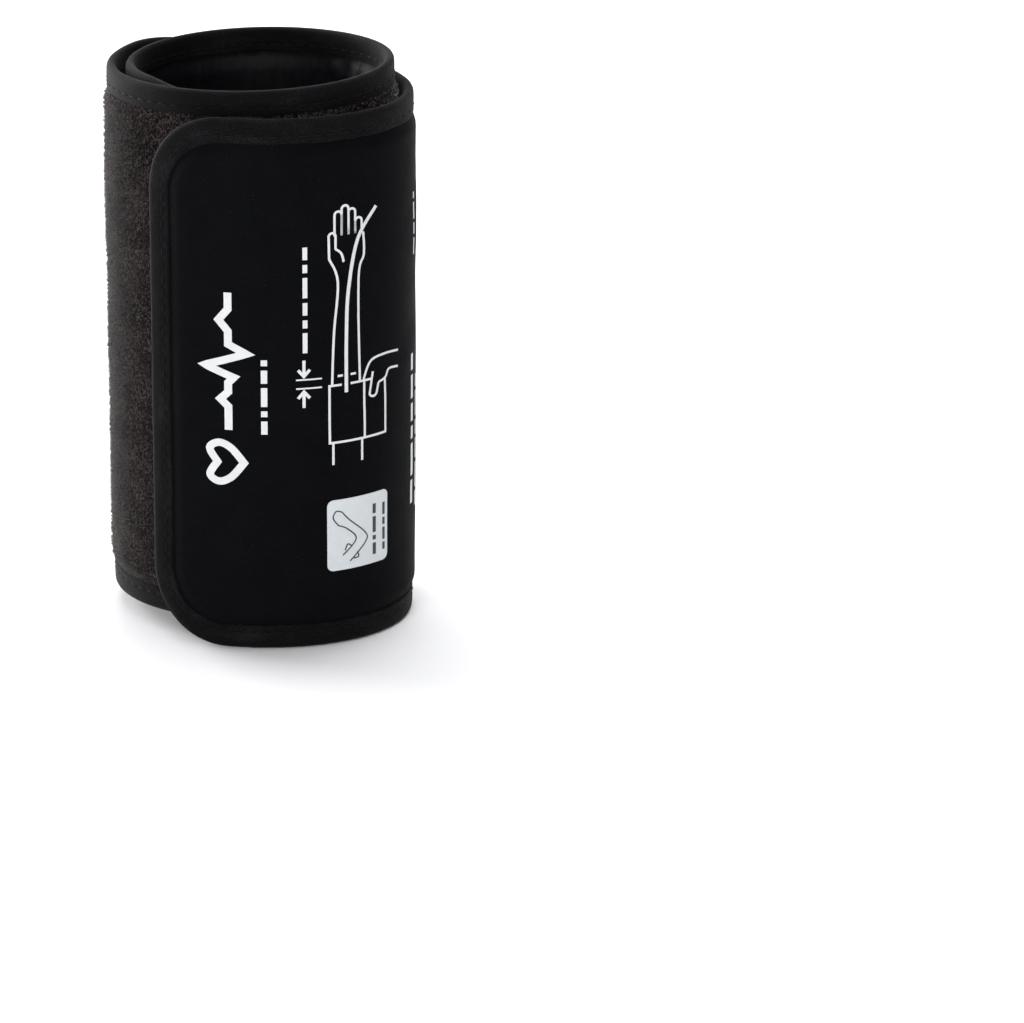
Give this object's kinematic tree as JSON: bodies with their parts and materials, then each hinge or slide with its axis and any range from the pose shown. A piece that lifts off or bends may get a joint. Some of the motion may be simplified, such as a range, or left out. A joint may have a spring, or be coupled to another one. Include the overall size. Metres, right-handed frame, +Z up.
{
  "type": "upper-arm blood pressure cuff",
  "caption": "Soft upper-arm blood pressure cuff rolled into an oval coil, with bound edges, a printed hook-and-loop flap, an inner air bladder and a springy curler.",
  "frame": {"origin": "middle of the rolled cuff in plan, at the level of the edge it stands on", "axes": "+Z up along the arm hole, -Y towards the viewer and the closed flap, +X to the viewer's right"},
  "size_m": [0.0822, 0.0746, 0.1537],
  "materials": {
    "lining": "satin",
    "loop_cloth": "matte",
    "print_panel": "semi-matte",
    "binding": "matte",
    "bladder": "matte",
    "curler": "satin",
    "hook_tape": "matte",
    "size_label": "matte",
    "air_port": "matte"
  },
  "bodies": {
    "coil": {"lining_coil": "lining", "loop_cloth_coil": "loop_cloth", "end_binding": "binding", "lower_binding": "binding", "upper_binding": "binding", "bladder_coil": "bladder", "curler_coil": "curler", "air_port": "air_port"},
    "wall_b": {"lining_b": "lining", "loop_cloth_b": "loop_cloth", "binding_b": "binding", "bladder_b": "bladder", "curler_b": "curler"},
    "wall_c": {"lining_c": "lining", "loop_cloth_c": "loop_cloth", "binding_c": "binding", "curler_c": "curler"},
    "wall_d": {"lining_d": "lining", "print_panel_d": "print_panel", "binding_d": "binding"},
    "flap": {"lining_e": "lining", "print_panel_e": "print_panel", "binding_e": "binding", "size_label": "size_label"},
    "flap_tip": {"lining_tip": "lining", "print_panel_tip": "print_panel", "binding_tip": "binding", "hook_tape": "hook_tape"}
  },
  "joints": [
    {"name": "unwrap", "type": "hinge", "parent": "coil", "child": "wall_b", "pos_m": [0.01132, -0.03133, 0.0725], "axis": [0, 0, 1], "range_deg": [0, 30], "stiffness_Nm_per_rad": 0.03},
    {"name": "unwrap_c", "type": "hinge", "parent": "wall_b", "child": "wall_c", "pos_m": [-0.03716, -0.00998, 0.0725], "axis": [0, 0, 1], "range_deg": [0, 18]},
    {"name": "unwrap_d", "type": "hinge", "parent": "wall_c", "child": "wall_d", "pos_m": [-0.01697, 0.03558, 0.0725], "axis": [0, 0, 1], "range_deg": [0, 45]},
    {"name": "unwrap_e", "type": "hinge", "parent": "wall_d", "child": "flap", "pos_m": [0.03356, 0.01876, 0.0725], "axis": [0, 0, 1], "range_deg": [0, 70]},
    {"name": "flap_peel", "type": "hinge", "parent": "flap", "child": "flap_tip", "pos_m": [0.02484, -0.03113, 0.0725], "axis": [0, 0, 1], "range_deg": [0, 60]}
  ],
  "couplings": [
    {"joint": "unwrap_c", "follows": "unwrap", "ratio": 0.6},
    {"joint": "unwrap_d", "follows": "unwrap", "ratio": 1.5},
    {"joint": "unwrap_e", "follows": "unwrap", "ratio": 2.333}
  ]
}
